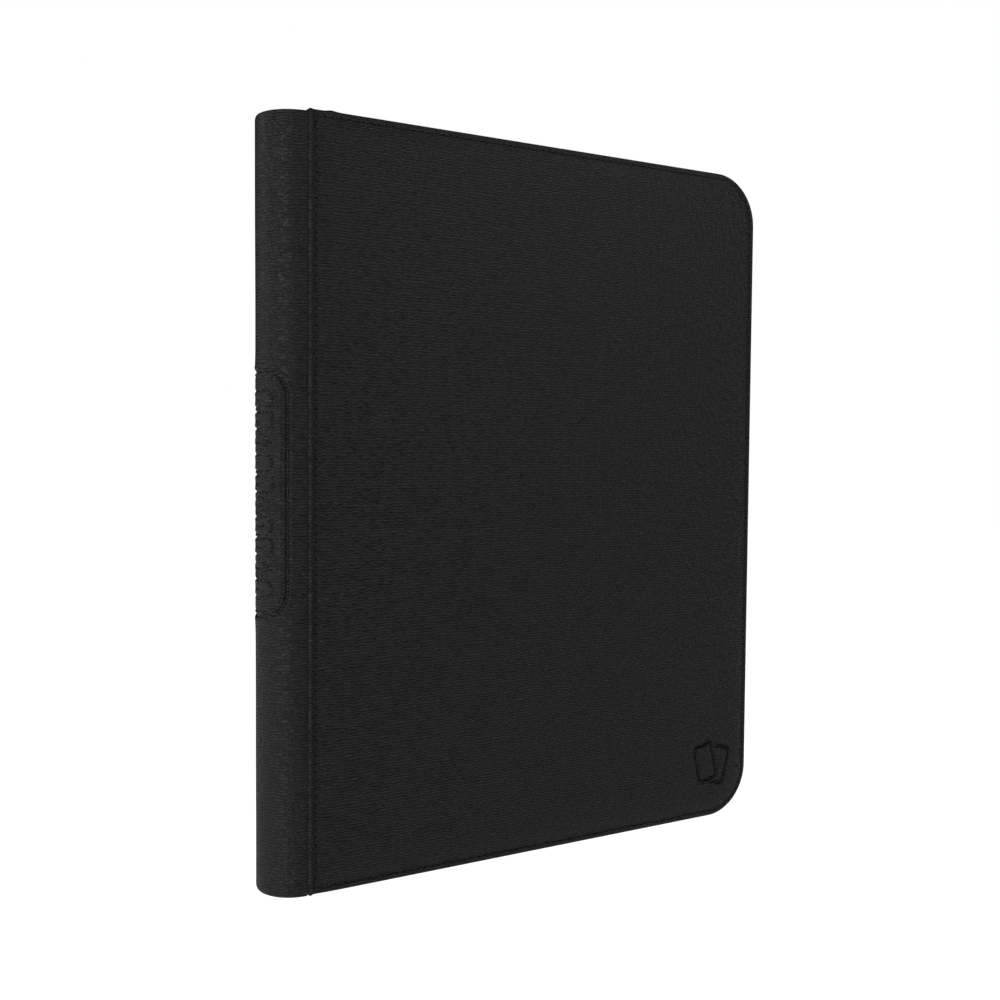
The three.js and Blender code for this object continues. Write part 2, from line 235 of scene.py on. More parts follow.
def shell(name, a, b, radii, height, rings, place, material, inner_grid=False):
    """A closed sheet over a rounded rectangle of grid lines a and b.

    height(x, z, inset) is its outer face, and place(x, z, height) its points. rings are (inset,
    height) pairs that roll it over its edge. The last ring is closed by one face, or by a grid
    like the outer one.
    """
    x, z, out_x, out_z, inset = round_corners(a, b, radii)
    points = [place(x, z, height(x, z, inset)).reshape(-1, 3)]
    index = np.arange(x.size).reshape(x.shape)
    faces = grid_quads(index)
    loop = border_of(index)
    edge = [array.ravel()[loop] for array in (x, z, out_x, out_z)]
    previous = loop
    count = x.size
    for ring_inset, ring_height in rings:
        ring_x = edge[0] - edge[2] * ring_inset
        ring_z = edge[1] - edge[3] * ring_inset
        points.append(place(ring_x, ring_z, np.full(len(loop), ring_height)))
        current = np.arange(count, count + len(loop))
        count += len(loop)
        faces += band(previous, current)
        previous = current
    if inner_grid:
        squeeze_a = 1 - 2 * rings[-1][0] / a[-1]
        squeeze_b = 1 - 2 * rings[-1][0] / b[-1]
        inner_x = a[-1] / 2 + (x - a[-1] / 2) * squeeze_a
        inner_z = b[-1] / 2 + (z - b[-1] / 2) * squeeze_b
        inner = place(inner_x, inner_z, np.full(x.shape, rings[-1][1])).reshape(-1, 3)
        points.append(inner)
        inner_index = count + index
        swap = dict(zip(border_of(inner_index).tolist(), previous.tolist()))
        faces += [[swap.get(p, p) for p in face] for face in grid_quads(inner_index)]
    else:
        faces.append(previous.tolist())
    obj = new_object(name, np.concatenate(points), faces, material)
    drop_loose_points(obj)
    return obj


def drop_loose_points(obj):
    work = bmesh.new()
    work.from_mesh(obj.data)
    loose = [v for v in work.verts if not v.link_faces]
    bmesh.ops.delete(work, geom=loose, context="VERTS")
    work.to_mesh(obj.data)
    work.free()


# Sweeps: one section carried along a path ---------------------------------------------------


CORNER_STEPS = 14


def open_sides_path(inset, start, spacing=12.0):
    """Points round the bottom, fore edge and top at an inset, with their outward directions."""
    radius = CORNER - inset
    centre_x = FORE_X - CORNER
    points, outs = [], []
    runs = int((centre_x - start) / spacing)
    for x in np.linspace(start, centre_x, runs, endpoint=False):
        points.append((x, inset))
        outs.append((0, -1))
    for low in (True, False):
        centre_z = CORNER if low else HEIGHT - CORNER
        first = -90 if low else 0
        for degrees in np.linspace(first, first + 90, CORNER_STEPS + 1):
            c, s = math.cos(math.radians(degrees)), math.sin(math.radians(degrees))
            points.append((centre_x + radius * c, centre_z + radius * s))
            outs.append((c, s))
        if low:
            uprights = int((HEIGHT - 2 * CORNER) / spacing)
            for z in np.linspace(CORNER, HEIGHT - CORNER, uprights + 1)[1:-1]:
                points.append((FORE_X - inset, z))
                outs.append((1, 0))
    for x in np.linspace(centre_x, start, runs + 1)[1:]:
        points.append((x, HEIGHT - inset))
        outs.append((0, 1))
    return np.array(points, float), np.array(outs, float)


def sweep(name, path, outs, section, material):
    """section is a closed loop of (towards the middle of the cover, y) pairs."""
    inward, across = np.array(section, float).T
    x = path[:, :1] - outs[:, :1] * inward
    z = path[:, 1:] - outs[:, 1:] * inward
    y = np.broadcast_to(across, x.shape)
    points = np.stack([x, y, z], -1).reshape(-1, 3)
    return new_object(name, points, tube_faces(*x.shape), material)


def along(path, outs, distances):
    """Points, outward directions and running directions at distances along a path."""
    steps = np.linalg.norm(np.diff(path, axis=0), axis=1)
    at = np.concatenate([[0], np.cumsum(steps)])
    place = np.stack([np.interp(distances, at, path[:, k]) for k in (0, 1)], 1)
    out = np.stack([np.interp(distances, at, outs[:, k]) for k in (0, 1)], 1)
    out /= np.linalg.norm(out, axis=1, keepdims=True)
    run = np.stack([-out[:, 1], out[:, 0]], 1)
    return place, out, run


def path_length(path):
    return float(np.linalg.norm(np.diff(path, axis=0), axis=1).sum())


def tube_points(centres, radius, sides):
    """A round tube's rings along centres, as a points array and quad faces with closed ends."""
    centres = np.asarray(centres, float)
    tangent = np.gradient(centres, axis=0)
    tangent /= np.linalg.norm(tangent, axis=1, keepdims=True)
    helper = np.where(np.abs(tangent[:, 1:2]) < 0.9, [[0, 1, 0]], [[1, 0, 0]])
    first = np.cross(tangent, helper)
    first /= np.linalg.norm(first, axis=1, keepdims=True)
    second = np.cross(tangent, first)
    angles = np.arange(sides) * 2 * math.pi / sides
    radii = np.broadcast_to(radius, len(centres))[:, None, None]
    rings = centres[:, None] + radii * (
        first[:, None] * np.cos(angles)[None, :, None] + second[:, None] * np.sin(angles)[None, :, None]
    )
    return rings.reshape(-1, 3), tube_faces(len(centres), sides)


# Materials ----------------------------------------------------------------------------------


class Shading:
    """A material under construction."""

    def __init__(self, name, colour, roughness, metallic=0.0):
        self.material = bpy.data.materials.new(name)
        self.material.use_nodes = True
        self.tree = self.material.node_tree
        self.shader = self.tree.nodes["Principled BSDF"]
        self.shader.inputs["Base Color"].default_value = (*colour, 1)
        self.shader.inputs["Roughness"].default_value = roughness
        self.shader.inputs["Metallic"].default_value = metallic
        self.place = self.tree.nodes.new("ShaderNodeTexCoord").outputs["Object"]
        self.last_bump = None

    def add(self, kind, **settings):
        node = self.tree.nodes.new(kind)
        for key, value in settings.items():
            setattr(node, key, value)
        return node

    def link(self, source, target):
        self.tree.links.new(source, target)

    def stretched(self, scale):
        """Coordinates in repeats per metre along X, Y and Z."""
        node = self.add("ShaderNodeVectorMath", operation="MULTIPLY")
        node.inputs[1].default_value = scale
        self.link(self.place, node.inputs[0])
        return node.outputs[0]

    def noise(self, scale, detail=2.0, roughness=0.5):
        node = self.add("ShaderNodeTexNoise")
        node.inputs["Scale"].default_value = 1.0
        node.inputs["Detail"].default_value = detail
        node.inputs["Roughness"].default_value = roughness
        self.link(self.stretched(scale), node.inputs["Vector"])
        return node.outputs["Fac"]

    def cells(self, scale):
        node = self.add("ShaderNodeTexVoronoi")
        node.inputs["Scale"].default_value = 1.0
        self.link(self.stretched(scale), node.inputs["Vector"])
        return node.outputs["Distance"]

    def waves(self, scale, direction="X", distortion=0.0):
        node = self.add("ShaderNodeTexWave", bands_direction=direction)
        node.inputs["Scale"].default_value = 1.0
        node.inputs["Distortion"].default_value = distortion
        node.inputs["Detail"].default_value = 1.0
        self.link(self.stretched(scale), node.inputs["Vector"])
        return node.outputs["Fac"]

    def mathed(self, operation, first, second):
        node = self.add("ShaderNodeMath", operation=operation)
        for socket, value in zip(node.inputs, (first, second)):
            if isinstance(value, (int, float)):
                socket.default_value = value
            else:
                self.link(value, socket)
        return node.outputs[0]

    def ranged(self, source, low, high, to_low, to_high):
        node = self.add("ShaderNodeMapRange")
        limits = {"From Min": low, "From Max": high, "To Min": to_low, "To Max": to_high}
        for key, value in limits.items():
            node.inputs[key].default_value = value
        self.link(source, node.inputs["Value"])
        return node.outputs["Result"]

    def bump(self, height, distance_mm, strength=1.0):
        node = self.add("ShaderNodeBump")
        node.inputs["Distance"].default_value = distance_mm * MM
        node.inputs["Strength"].default_value = strength
        self.link(height, node.inputs["Height"])
        if self.last_bump:
            self.link(self.last_bump, node.inputs["Normal"])
        self.last_bump = node.outputs["Normal"]
        self.link(self.last_bump, self.shader.inputs["Normal"])

    def tint(self, factor, dark, light):
        """Base colour from dark to light as factor goes from 0 to 1."""
        node = self.add("ShaderNodeValToRGB")
        node.color_ramp.elements[0].color = (*dark, 1)
        node.color_ramp.elements[1].color = (*light, 1)
        self.link(factor, node.inputs["Fac"])
        self.link(node.outputs["Color"], self.shader.inputs["Base Color"])

    def rough(self, factor, low, high):
        self.link(self.ranged(factor, 0.25, 0.75, low, high), self.shader.inputs["Roughness"])


def grey(value):
    return (value, value, value)


def leather():
    """Fine wavy creases that run level, as on embossed leatherette, with pores between them; the colour
    carries painted shade in the creases.
    """
    s = Shading("leatherette", grey(0.016), 0.5)
    ridges = s.waves((420, 420, 230), "Z", distortion=4.8)
    breaks = s.noise((330, 330, 900), detail=1.0)
    creases = s.mathed("MULTIPLY", ridges, s.ranged(breaks, 0.38, 0.62, 0.25, 1.0))
    pores = s.cells((1500, 1500, 2600))
    patches = s.noise((14, 14, 14), detail=2.0)
    s.bump(creases, 0.62, 1.0)
    s.bump(pores, 0.05, 0.6)
    # Painted shade: the base colour is near black in the creases' grooves and lighter on their crests,
    # following the bump.
    s.tint(creases, grey(0.001), grey(0.042))
    s.rough(patches, 0.36, 0.43)
    s.shader.inputs["Specular IOR Level"].default_value = 0.5
    return s.material


def thread():
    s = Shading("thread", grey(0.012), 0.55)
    twist = s.waves((420, 420, 420), "DIAGONAL")
    s.bump(twist, 0.12)
    s.tint(twist, grey(0.007), grey(0.018))
    return s.material


def painted_hole_shade():
    """Painted shade: a near-black colour that stands in for the shade inside a needle hole."""
    s = Shading("needle_hole_shade_paint", grey(0.002), 0.95)
    s.tint(s.noise((900, 900, 900)), grey(0.0015), grey(0.003))
    s.shader.inputs["Specular IOR Level"].default_value = 0.1
    return s.material


def lining_cloth():
    """A fine plain weave with slubs."""
    s = Shading("lining_cloth", grey(0.014), 0.85)
    weave = s.mathed("MULTIPLY", s.waves((520, 0, 0), "X"), s.waves((0, 0, 520), "Z"))
    slubs = s.noise((40, 40, 700), detail=2.0)
    s.bump(weave, 0.12)
    s.bump(slubs, 0.1)
    s.tint(s.mathed("MULTIPLY", weave, s.ranged(slubs, 0.3, 0.7, 0.6, 1.2)), grey(0.008), grey(0.024))
    s.shader.inputs["Sheen Weight"].default_value = 0.25
    return s.material


def tape_cloth():
    """The zip tape's herringbone."""
    s = Shading("tape_cloth", grey(0.012), 0.8)
    twill = s.waves((330, 560, 330), "DIAGONAL", 0.4)
    cross = s.waves((0, 900, 0), "Y")
    s.bump(s.mathed("MULTIPLY", twill, cross), 0.16)
    s.tint(twill, grey(0.006), grey(0.02))
    s.shader.inputs["Sheen Weight"].default_value = 0.2
    return s.material


def coil_plastic():
    s = Shading("coil_plastic", grey(0.012), 0.38)
    s.rough(s.noise((300, 300, 300)), 0.3, 0.45)
    s.bump(s.noise((900, 900, 900), detail=1.0), 0.04)
    return s.material


def dark_metal():
    """Black-nickel plated zinc with faint handling marks."""
    s = Shading("dark_metal", grey(0.24), 0.3, 1.0)
    marks = s.noise((900, 140, 140), detail=4.0, roughness=0.65)
    s.rough(marks, 0.22, 0.42)
    s.bump(marks, 0.02)
    s.tint(s.noise((120, 120, 120), detail=2.0), grey(0.18), grey(0.3))
    return s.material


def pull_rubber():
    s = Shading("pull_rubber", grey(0.014), 0.62)
    s.bump(s.cells((1800, 1800, 1800)), 0.04)
    s.rough(s.noise((200, 200, 200)), 0.55, 0.7)
    return s.material


def moulded_plastic():
    s = Shading("moulded_plastic", grey(0.014), 0.5)
    s.bump(s.noise((1400, 1400, 1400), detail=2.0), 0.05)
    s.rough(s.noise((90, 90, 90)), 0.42, 0.58)
    s.tint(s.noise((30, 30, 30)), grey(0.011), grey(0.017))
    return s.material


def leaf_film():
    """The leaves' black embossed backing."""
    s = Shading("leaf_film", grey(0.014), 0.42)
    s.bump(s.cells((950, 950, 950)), 0.08)
    s.rough(s.noise((60, 60, 60), detail=3.0), 0.34, 0.5)
    s.tint(s.noise((22, 22, 22)), grey(0.011), grey(0.018))
    return s.material


def clear_film():
    """The pockets' clear film: mostly its gloss is seen."""
    s = Shading("clear_film", grey(0.5), 0.14)
    ripple = s.noise((28, 28, 18), detail=2.0)
    s.bump(ripple, 0.6, 0.5)
    s.rough(s.noise((70, 70, 70)), 0.1, 0.2)
    s.tint(ripple, grey(0.45), grey(0.6))
    s.shader.inputs["Alpha"].default_value = 0.14
    s.material.surface_render_method = "BLENDED"
    return s.material


LEATHER = leather()
THREAD = thread()
HOLE_SHADE = painted_hole_shade()
LINING = lining_cloth()
TAPE = tape_cloth()
COIL = coil_plastic()
METAL = dark_metal()
RUBBER = pull_rubber()
PLASTIC = moulded_plastic()
FILM = leaf_film()
CLEAR = clear_film()

# Covers -------------------------------------------------------------------------------------

# The emblem's box on the cover, and the spacing of the grid's lines in it
EMBLEM_LEFT, EMBLEM_RIGHT = 220, 252
EMBLEM_LOW, EMBLEM_HIGH = 14, 46
EMBLEM_X, EMBLEM_Z = 236.2, 30.0
EMBLEM_GRID = 0.3
CARD_HALF_WIDTH = 6.0
CARD_HALF_HEIGHT = 9.8
CARD_CORNER = 1.6
CARD_GROOVE = 1.5

EDGE_LINES = (0, 0.12, 0.3, 0.55, 0.9, 1.3, 1.7, 2.1, 2.5, 2.8, 3.1, 3.6, 4.3, 5.4, 6.8, 9, 12, 16, 21, 26)
PLATEAU = 1.95  # how far the padding stands out in the middle of a cover

# The relief over the cover's flat face, by the distance in from an open edge, by the distance from
# the seam, where a ridge runs, and along that ridge from its two ends
open_edge = curve_through(
    [(0, -1.35), (0.12, -1.0), (0.4, -0.7), (0.8, -0.45), (1.3, -0.27), (1.75, -0.2), (2.2, -0.28),
     (2.7, -0.42), (3.1, -0.32), (4.0, 0.08), (5.4, 0.55), (8, 1.1), (12, 1.5), (18, 1.75),
     (28, 1.88), (45, PLATEAU)]
)
seam_edge = curve_through(
    [(0, -0.12), (0.25, 0.0), (0.6, 0.22), (1.0, 0.46), (1.4, 0.58), (1.8, 0.46), (2.3, 0.12),
     (2.9, -0.16), (3.8, -0.3), (4.6, -0.12), (6, 0.22), (9, 0.72), (14, 1.2), (24, 1.68), (45, PLATEAU)]
)
piping_end = curve_through([(0, -1.35), (0.12, -1.05), (0.4, -0.75), (1.0, -0.45), (2.2, -0.2), (4.5, 0)])


def cover_lines_a(detail):
    """Lines from the seam to the fore edge."""
    seam = lines((0, 0.2), (4.4, 0.5), (6.4, 0.9), (12, 3), (40, 4))
    middle = lines((40, 4), (EMBLEM_LEFT, 1))[1:]
    if detail:
        emblem_zone = lines((EMBLEM_LEFT, EMBLEM_GRID), (EMBLEM_RIGHT, 1))[1:-1]
    else:
        emblem_zone = lines((EMBLEM_LEFT, 3), (EMBLEM_RIGHT - 1, 1))[1:-1]
    fore = [v for v in EDGE_LINES if v < COVER_WIDTH - EMBLEM_RIGHT - 0.5]
    return np.concatenate([seam, middle, emblem_zone, COVER_WIDTH - np.array(fore)[::-1]])


def cover_lines_b(detail):
    """Lines from the foot to the head."""
    low = np.array(EDGE_LINES, float)
    if detail:
        start = [v for v in EDGE_LINES if v < EMBLEM_LOW]
        low = np.concatenate([start, lines((EMBLEM_LOW, EMBLEM_GRID), (EMBLEM_HIGH, 1))])
    middle = lines((low[-1], 4), (HEIGHT - EDGE_LINES[-1], 1))[1:-1]
    return np.concatenate([low, middle, HEIGHT - np.array(EDGE_LINES, float)[::-1]])


def emblem(x, z):
    """Two pressed card outlines, one in front of the other."""
    card = (CARD_HALF_WIDTH, CARD_HALF_HEIGHT, CARD_CORNER)
    front = rounded_box(x - EMBLEM_X + 4.2, z - EMBLEM_Z - 0.9, *card, degrees=13)
    behind = rounded_box(x - EMBLEM_X - 4.8, z - EMBLEM_Z + 1.3, *card, degrees=-15)
    shown = smoothstep(1.8, 2.4, front)
    pressed = np.maximum(stroke(front, 0.9, 0.5), stroke(behind, 0.9, 0.5) * shown)
    return -CARD_GROOVE * pressed


def uneven(x, z, seed):
    """The padding's slight unevenness."""
    return (
        0.06 * np.sin(x / 19 + seed) * np.sin(z / 23 + 2 * seed)
        + 0.05 * np.sin(x / 41 + z / 33 + 3 * seed)
        + 0.03 * np.sin(x / 9 - z / 13 + seed)
    )


TAPE_LUMP = 0.45  # the zip tape's turned end lifts the leather's top edge a little
TAPE_LUMP_X = 12.0


def cover_height(side):
    """The leather's height over the cover's flat face, from x off the seam, z and the distance in."""
    front = side == "front"

    def height(x, z, inset):
        to_open = np.minimum(COVER_WIDTH - x, np.minimum(z, HEIGHT - z))
        to_open = np.where(x > COVER_WIDTH - CORNER, inset, to_open)
        pucker = stroke(x - 1.5, 1.1, 0.7) * 0.05 * np.cos(2 * math.pi * z / STITCH_PITCH)
        relief = PLATEAU - np.hypot(PLATEAU - open_edge(to_open), PLATEAU - seam_edge(x))
        piping = 1 - smoothstep(2.2, 3.4, x)
        relief = relief + piping * (seam_edge(x) + piping_end(to_open) - relief) + pucker
        relief = relief + uneven(x, z, 1 if front else 4) * smoothstep(4, 14, inset)
        return relief + (emblem(x, z) if front else 0)

    return height


def cover_skin(side, sign):
    front = side == "front"

    def place(x, z, h):
        lump = TAPE_LUMP * stroke(x - TAPE_LUMP_X, 2.4, 1.6) * smoothstep(HEIGHT - 3, HEIGHT, z)
        return np.stack([SEAM_X + JOIN_GAP + x, sign * (RADIUS + h), z + lump], -1)

    rings = [
        (0.0, -1.8), (0.0, -3.6), (0.2, -4.3), (0.8, -4.75), (2.0, -SHELL), (13.0, -SHELL), (13.4, -4.4)
    ]
    radii = {(0, 0): 1.5, (0, 1): 1.5, (1, 0): CORNER, (1, 1): CORNER}
    skin = shell(
        f"{side}_cover_skin", cover_lines_a(front), cover_lines_b(front), radii, cover_height(side),
        rings, place, LEATHER,
    )
    nodes = [f"{side}_cover_{part}" for part in ("leather", "foam", "board")]
    mount(skin, f"{side}_cover", "leatherette", *nodes)
    return skin


def stitch_places():
    """The (x, z) middles and directions of a cover's stitches, round its open edges and its seam."""
    path, outs = open_sides_path(STITCH_INSET, SEAM_X + 8.0, spacing=4.0)
    count = int(path_length(path) / STITCH_PITCH)
    place, _, run = along(path, outs, (np.arange(count) + 0.5) * STITCH_PITCH)
    seam_z = np.arange(6.0, HEIGHT - 5.0, STITCH_PITCH)
    seam = np.stack([np.full_like(seam_z, SEAM_X + JOIN_GAP + SEAM_STITCH), seam_z], 1)
    up = np.tile([0.0, 1.0], (len(seam_z), 1))
    return np.concatenate([place, seam]), np.concatenate([run, up])


def stitched(name, side, sign, shape, shift, material):
    """One small tube per stitch, moved on by shift along the row.

    shape is rows of (along the row, over the leather, radius).
    """
    along_seam, over, radius = np.array(shape, float).T
    places, runs = stitch_places()
    places = places + runs * shift
    inset = np.full(len(places), STITCH_INSET)
    surface = cover_height(side)(places[:, 0] - SEAM_X - JOIN_GAP, places[:, 1], inset)
    points, faces = [], []
    count = 0
    for (x, z), (run_x, run_z), lift in zip(places, runs, surface):
        centres = np.stack(
            [x + run_x * along_seam, sign * (RADIUS + lift + over), z + run_z * along_seam], 1
        )
        ring_points, ring_faces = tube_points(centres, radius, 6)
        points.append(ring_points)
        faces += [[count + i for i in face] for face in ring_faces]
        count += len(ring_points)
    obj = new_object(f"{side}_{name}", np.concatenate(points), faces, material)
    return mount(obj, f"{side}_cover", "leatherette")


def cover_stitching(side, sign):
    """Thread over the leather, lowest at its two ends, and small near-black discs of painted shade where the
    needle holes between the stitches are.
    """
    thread_shape = [
        (-1.35, -0.6, 0.2), (-1.15, -0.18, 0.32), (-0.55, 0.0, 0.36), (0.0, 0.04, 0.36),
        (0.55, 0.0, 0.36), (1.15, -0.18, 0.32), (1.35, -0.6, 0.2),
    ]
    stitched("stitching", side, sign, thread_shape, 0.0, THREAD)
    # Painted shade: flat near-black discs, mostly sunk into the leather, stand in for the shade in each
    # needle hole.
    hole_shade_shape = [
        (-0.7, -0.32, 0.12), (-0.45, -0.3, 0.4), (0.0, -0.3, 0.52), (0.45, -0.3, 0.4), (0.7, -0.32, 0.12)
    ]
    stitched("needle_hole_shade_discs", side, sign, hole_shade_shape, STITCH_PITCH / 2, HOLE_SHADE)


def lining_lines(length):
    return lines((0, 0.4), (1.6, 1.5), (8, 8), (length - 8, 1.5), (length - 1.6, 0.4), (length, 1))


def cover_lining(side, sign):
    """The lining panel, its edge turned under."""
    inset = 6.3
    edge = curve_through([(0, 0.1), (0.25, 0.38), (0.8, 0.52), (2.2, 0.5), (3.2, 0.42), (5, 0.5), (9, 0.55)])

    def place(x, z, h):
        return np.stack([SEAM_X + JOIN_GAP + inset + x, sign * (RADIUS - SHELL - h), inset + z], -1)

    corner = CORNER - inset
    radii = {(0, 0): 1.5, (0, 1): 1.5, (1, 0): corner, (1, 1): corner}
    panel = shell(
        f"{side}_lining_panel", lining_lines(COVER_WIDTH - 2 * inset), lining_lines(HEIGHT - 2 * inset),
        radii, lambda x, z, d: edge(d), [(0.1, -0.3)], place, LINING,
    )
    return mount(panel, f"{side}_cover", "lining_cloth", f"{side}_cover_lining")


# Spine --------------------------------------------------------------------------------------

SPINE_ARC = math.pi * RADIUS - 2 * JOIN_GAP
PANEL_HALF_WIDTH = 18.2
PANEL_HALF_HEIGHT = 55.5
PANEL_MIDDLE_Z = 180.8
PANEL_CORNER = 12.5
MOTIF_COUNT = 10
MOTIF_PITCH = 9.4
MOTIF_HALF_WIDTH = 10.4
MOTIF_HALF_HEIGHT = 3.9

spine_side = curve_through([(0, -0.14), (0.3, -0.08), (0.9, -0.04), (2.0, 0)])
spine_end = curve_through([(0, -1.6), (0.12, -1.05), (0.45, -0.55), (1.0, -0.22), (2.4, 0)])


def spine_motif(t, z):
    """A column of ovals, lozenges and bars, each a groove round a raised band, with a middle groove."""
    relief = np.zeros_like(t)
    for i in range(MOTIF_COUNT):
        dz = z - PANEL_MIDDLE_Z - (i - (MOTIF_COUNT - 1) / 2) * MOTIF_PITCH
        lozenge = (np.abs(t) / MOTIF_HALF_WIDTH + np.abs(dz) / (MOTIF_HALF_HEIGHT + 0.8) - 1) * 3.6
        shapes = (
            rounded_box(t, dz, MOTIF_HALF_WIDTH, MOTIF_HALF_HEIGHT, MOTIF_HALF_HEIGHT),
            lozenge,
            rounded_box(t, dz, MOTIF_HALF_WIDTH, MOTIF_HALF_HEIGHT, 1.4),
        )
        shape = shapes[i % 3]
        relief -= 0.65 * stroke(shape + 0.1, 0.55, 0.35)
        relief += 0.1 * stroke(shape + 1.6, 0.9, 0.45)
        relief -= 0.5 * stroke(np.maximum(np.abs(t) - 5.5, 0) + np.abs(dz), 0.5, 0.35)
    return relief


def spine_relief(t, z):
    """The pressed panel: a low ridge, a groove, a finer groove inside it, and the motif."""
    t = t - SPINE_ARC / 2
    outline = rounded_box(t, z - PANEL_MIDDLE_Z, PANEL_HALF_WIDTH, PANEL_HALF_HEIGHT, PANEL_CORNER)
    relief = 0.3 * stroke(outline - 1.1, 0.9, 0.8) - 0.75 * stroke(outline + 0.9, 0.75, 0.5)
    relief += 0.1 * stroke(outline + 2.2, 0.4, 0.3) - 0.35 * stroke(outline + 3.1, 0.4, 0.35)
    return relief + spine_motif(t, z)


def spine_skin():
    side = np.array([0, 0.3, 0.7, 1.2, 1.8, 2.6, 3.6, 4.8, 6.2])
    a = np.concatenate([side[:-1], lines((6.2, 0.4), (SPINE_ARC - 6.2, 1))[:-1], SPINE_ARC - side[::-1]])
    ends = np.array([0, 0.12, 0.3, 0.55, 0.9, 1.4, 2.2, 4])
    low = PANEL_MIDDLE_Z - PANEL_HALF_HEIGHT - 2
    high = PANEL_MIDDLE_Z + PANEL_HALF_HEIGHT + 2
    middle = lines((4, 6), (low, 0.4), (high, 6), (SPINE_HIGH - 4, 1))[1:-1]
    b = np.concatenate([ends, middle, SPINE_HIGH - ends[::-1]])

    def height(t, z, inset):
        to_side = np.minimum(t, SPINE_ARC - t)
        to_end = np.minimum(z, SPINE_HIGH - z)
        soft = uneven(t * 1.5, z, 7) * smoothstep(3, 10, to_side)
        return spine_side(to_side) + spine_end(to_end) + spine_relief(t, z) + soft

    def place(t, z, h):
        angle = (t + JOIN_GAP) / RADIUS
        reach = RADIUS + h
        return np.stack([SEAM_X - reach * np.sin(angle), -reach * np.cos(angle), z], -1)

    rings = [(0.0, -2.6), (0.0, -3.8), (0.3, -4.5), (1.0, -SHELL)]
    radii = {(0, 0): 0.8, (0, 1): 0.8, (1, 0): 0.8, (1, 1): 0.8}
    skin = shell("spine_skin", a, b, radii, height, rings, place, LEATHER, inner_grid=True)
    nodes = [f"spine_{part}" for part in ("leather", "foam", "board", "facing_top", "facing_bottom")]
    mount(skin, "spine", "leatherette", *nodes)
    return skin


def strip(name, centres, thickness, low, high, material, steps=60):
    """A thin upright strip: centres are (x, y) points across it."""
    centres = np.array(centres, float)
    tangent = np.gradient(centres, axis=0)
    tangent /= np.linalg.norm(tangent, axis=1, keepdims=True)
    normal = np.stack([-tangent[:, 1], tangent[:, 0]], 1) * thickness / 2
    loop = np.concatenate([centres + normal, (centres - normal)[::-1]])
    heights = np.linspace(low, high, steps + 1)
    points = np.array([(x, y, z) for z in heights for x, y in loop])
    return new_object(name, points, tube_faces(steps + 1, len(loop)), material)


def hinge_skins(side, sign):
    """The strips over the hinge between spine and cover: leatherette outside, lining cloth inside."""
    across = np.linspace(-1.6, 0.9, 11)
    sag = 0.5 + 0.1 * np.cos(across / 1.6)
    outer = [(SEAM_X + dx, sign * (RADIUS - depth)) for dx, depth in zip(across, sag)]
    outside = strip(f"{side}_hinge_skin", outer, 0.5, 1.8, SPINE_HIGH - 1.8, LEATHER)
    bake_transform(outside)
    inner_radius = RADIUS - SHELL - 0.25
    inner = []
    for degrees in np.linspace(24, 2, 8):
        angle = math.radians(degrees)
        inner.append((SEAM_X - inner_radius * math.sin(angle), sign * inner_radius * math.cos(angle)))
    for dx in (0.6, 1.6, 2.8, 4.2, 6.0, 8.0, 9.4):
        inner.append((SEAM_X + dx, sign * (RADIUS - SHELL - 0.25 - 0.55 * float(smoothstep(3, 7, dx)))))
    inside = strip(f"{side}_inner_hinge", inner, 0.4, LEAF_LOW, LEAF_HIGH, LINING)
    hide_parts(f"{side}_hinge_strip")
    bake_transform(inside)


# Zip ----------------------------------------------------------------------------------------


TAPE_EDGE = 2.6  # from the middle plane to the tape's free edge
TAPE_HALF_THICKNESS = 0.28
COIL_PITCH = 1.45
COIL_WIRE_RADIUS = 0.34
COIL_POINTS = 9  # points of the path in each turn


def zip_tape(side, sign):
    """A bowed cloth wall from the cover's inside to the coil, its sewn edge turned flat on the cover."""
    wall_out = sign * (RADIUS - SHELL)
    edge = sign * TAPE_EDGE
    half = TAPE_HALF_THICKNESS
    path, outs = open_sides_path(TAPE_INSET, SEAM_X + 4.0)
    span = np.linspace(0, 1, 9)
    bow = 0.35 * np.sin(span * math.pi)
    ys = wall_out + (edge - wall_out) * span
    near = [(b - half, y) for b, y in zip(bow, ys)]
    far = [(b + half, y) for b, y in zip(bow[::-1], ys[::-1])]
    sewn = [
        (-3.6, wall_out + sign * 0.02), (-3.7, wall_out - sign * 0.25), (-3.5, wall_out - sign * 0.5),
        (-0.5, wall_out - sign * 0.55),
    ]
    tape = sweep(f"{side}_zip_tape_cloth", path, outs, sewn + near[1:] + far, TAPE)
    return mount(tape, f"{side}_cover", "zip_tape", f"{side}_zip_tape")


def zip_coil(side, sign):
    """A nylon coil: flat loops whose heads reach past the middle plane, half a pitch from the other's."""
    path, outs = open_sides_path(TAPE_INSET, SEAM_X + 16.7, spacing=3.0)
    length = path_length(path)
    turns = int(length / COIL_PITCH) - 1
    phase = np.arange(turns * COIL_POINTS) * 2 * math.pi / COIL_POINTS
    offset = 0.0 if sign < 0 else COIL_PITCH / 2
    run_at = offset + phase / (2 * math.pi) * COIL_PITCH
    place, out, _ = along(path, outs, run_at)
    reach = 1.9 + 1.5 * np.cos(phase)
    bulge = 0.82 * np.sin(phase)
    centres = np.stack(
        [place[:, 0] - out[:, 0] * bulge, sign * (reach - 0.5), place[:, 1] - out[:, 1] * bulge], 1
    )
    points, faces = tube_points(centres, COIL_WIRE_RADIUS, 5)
    coil = new_object(f"{side}_zip_coil_teeth", points, faces, COIL)
    return mount(coil, f"{side}_cover", "zip_coil", f"{side}_zip_coil")


